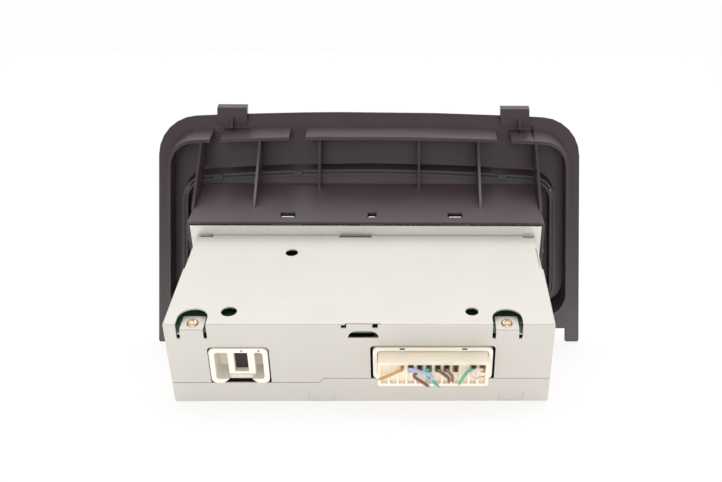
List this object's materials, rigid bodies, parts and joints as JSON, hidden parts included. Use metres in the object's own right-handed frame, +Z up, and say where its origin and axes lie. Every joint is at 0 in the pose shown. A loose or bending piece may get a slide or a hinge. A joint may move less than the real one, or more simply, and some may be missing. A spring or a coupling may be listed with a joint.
{
  "type": "car radio head unit",
  "caption": "Dash radio in a folded steel case behind a wide sloping plastic fascia with turning knobs, a display window and push buttons, seen from its wiring end.",
  "frame": {"origin": "on the surface that the unit stands on, under the middle of its bounding box", "axes": "+X to the right as seen from the wiring end, +Y from the wiring end towards the control face, +Z up; the unit stands leaning on the rear lower edge of its case and the two feet of its fascia"},
  "size_m": [0.2384, 0.14, 0.1335],
  "materials": {
    "charcoal": "fine-grained charcoal moulding",
    "panel": "smooth satin dark plastic",
    "plated": "zinc-plated folded steel sheet, satin",
    "frame": "bare plated steel sheet",
    "lens": "smoked polished window",
    "glass": "display glass",
    "cream": "cream nylon",
    "board": "green lacquered laminate",
    "zinc": "zinc-plated steel",
    "knob": "satin black plastic",
    "button": "satin dark plastic",
    "aluminium": "bare extruded aluminium",
    "epoxy": "moulded epoxy",
    "sleeve": "shrink sleeve",
    "nylon": "off-white nylon",
    "brass": "yellow-passivated steel that looks like brass",
    "wire": "plastic insulation, cut ends",
    "ribbon": "flat flexible cable"
  },
  "bodies": {
    "unit_body": {"fascia": "charcoal", "front_panel": "panel", "top_cover": "plated", "bottom_cover": "plated", "tuner_module": "plated", "left_side_frame": "frame", "right_side_frame": "frame", "front_frame": "frame", "display_lens": "lens", "display_glass": "glass", "display_holder": "cream", "board_ribbon_socket": "cream", "key_ribbon_socket": "cream", "harness_plug": "cream", "key_board": "board", "main_board": "board", "volume_encoder": "zinc", "tuning_encoder": "zinc", "left_hood_screw_1": "zinc", "left_hood_screw_2": "zinc", "right_hood_screw_1": "zinc", "right_hood_screw_2": "zinc", "left_board_screw": "zinc", "right_board_screw": "zinc", "heat_sink": "aluminium", "amplifier_chip": "epoxy", "processor_chip": "epoxy", "filter_capacitor_1": "sleeve", "filter_capacitor_2": "sleeve", "filter_capacitor_3": "sleeve", "main_socket": "nylon", "small_socket": "nylon", "cover_screw_1": "brass", "cover_screw_2": "brass", "harness_wire_1": "wire", "harness_wire_2": "wire", "harness_wire_3": "wire", "harness_wire_4": "wire", "harness_wire_5": "wire", "harness_wire_6": "wire", "harness_wire_7": "wire", "harness_wire_8": "wire", "ribbon_cable": "ribbon"},
    "volume_control": {"volume_knob": "knob", "volume_shaft": "zinc"},
    "tuning_control": {"tuning_knob": "knob", "tuning_shaft": "zinc"},
    "preset_button_1": {"preset_button_1": "button"},
    "preset_button_2": {"preset_button_2": "button"},
    "preset_button_3": {"preset_button_3": "button"},
    "preset_button_4": {"preset_button_4": "button"},
    "preset_button_5": {"preset_button_5": "button"},
    "preset_button_6": {"preset_button_6": "button"},
    "function_button_1": {"function_button_1": "button"},
    "function_button_2": {"function_button_2": "button"},
    "function_button_3": {"function_button_3": "button"},
    "function_button_4": {"function_button_4": "button"},
    "function_button_5": {"function_button_5": "button"},
    "function_button_6": {"function_button_6": "button"}
  },
  "joints": [
    {"name": "volume_turn", "type": "hinge", "parent": "unit_body", "child": "volume_control", "pos_m": [0.081, 0.05001, 0.06145], "axis": [0, 0.9791, -0.2035], "continuous": true},
    {"name": "tuning_turn", "type": "hinge", "parent": "unit_body", "child": "tuning_control", "pos_m": [-0.081, 0.05001, 0.06145], "axis": [0, 0.9791, -0.2035], "continuous": true},
    {"name": "preset_button_1_press", "type": "slide", "parent": "unit_body", "child": "preset_button_1", "axis": [0, -0.9791, 0.2035], "range_m": [0, 0.001], "stiffness_N_per_m": 1500},
    {"name": "preset_button_2_press", "type": "slide", "parent": "unit_body", "child": "preset_button_2", "axis": [0, -0.9791, 0.2035], "range_m": [0, 0.001], "stiffness_N_per_m": 1500},
    {"name": "preset_button_3_press", "type": "slide", "parent": "unit_body", "child": "preset_button_3", "axis": [0, -0.9791, 0.2035], "range_m": [0, 0.001], "stiffness_N_per_m": 1500},
    {"name": "preset_button_4_press", "type": "slide", "parent": "unit_body", "child": "preset_button_4", "axis": [0, -0.9791, 0.2035], "range_m": [0, 0.001], "stiffness_N_per_m": 1500},
    {"name": "preset_button_5_press", "type": "slide", "parent": "unit_body", "child": "preset_button_5", "axis": [0, -0.9791, 0.2035], "range_m": [0, 0.001], "stiffness_N_per_m": 1500},
    {"name": "preset_button_6_press", "type": "slide", "parent": "unit_body", "child": "preset_button_6", "axis": [0, -0.9791, 0.2035], "range_m": [0, 0.001], "stiffness_N_per_m": 1500},
    {"name": "function_button_1_press", "type": "slide", "parent": "unit_body", "child": "function_button_1", "axis": [0, -0.9791, 0.2035], "range_m": [0, 0.001], "stiffness_N_per_m": 1500},
    {"name": "function_button_2_press", "type": "slide", "parent": "unit_body", "child": "function_button_2", "axis": [0, -0.9791, 0.2035], "range_m": [0, 0.001], "stiffness_N_per_m": 1500},
    {"name": "function_button_3_press", "type": "slide", "parent": "unit_body", "child": "function_button_3", "axis": [0, -0.9791, 0.2035], "range_m": [0, 0.001], "stiffness_N_per_m": 1500},
    {"name": "function_button_4_press", "type": "slide", "parent": "unit_body", "child": "function_button_4", "axis": [0, -0.9791, 0.2035], "range_m": [0, 0.001], "stiffness_N_per_m": 1500},
    {"name": "function_button_5_press", "type": "slide", "parent": "unit_body", "child": "function_button_5", "axis": [0, -0.9791, 0.2035], "range_m": [0, 0.001], "stiffness_N_per_m": 1500},
    {"name": "function_button_6_press", "type": "slide", "parent": "unit_body", "child": "function_button_6", "axis": [0, -0.9791, 0.2035], "range_m": [0, 0.001], "stiffness_N_per_m": 1500}
  ]
}
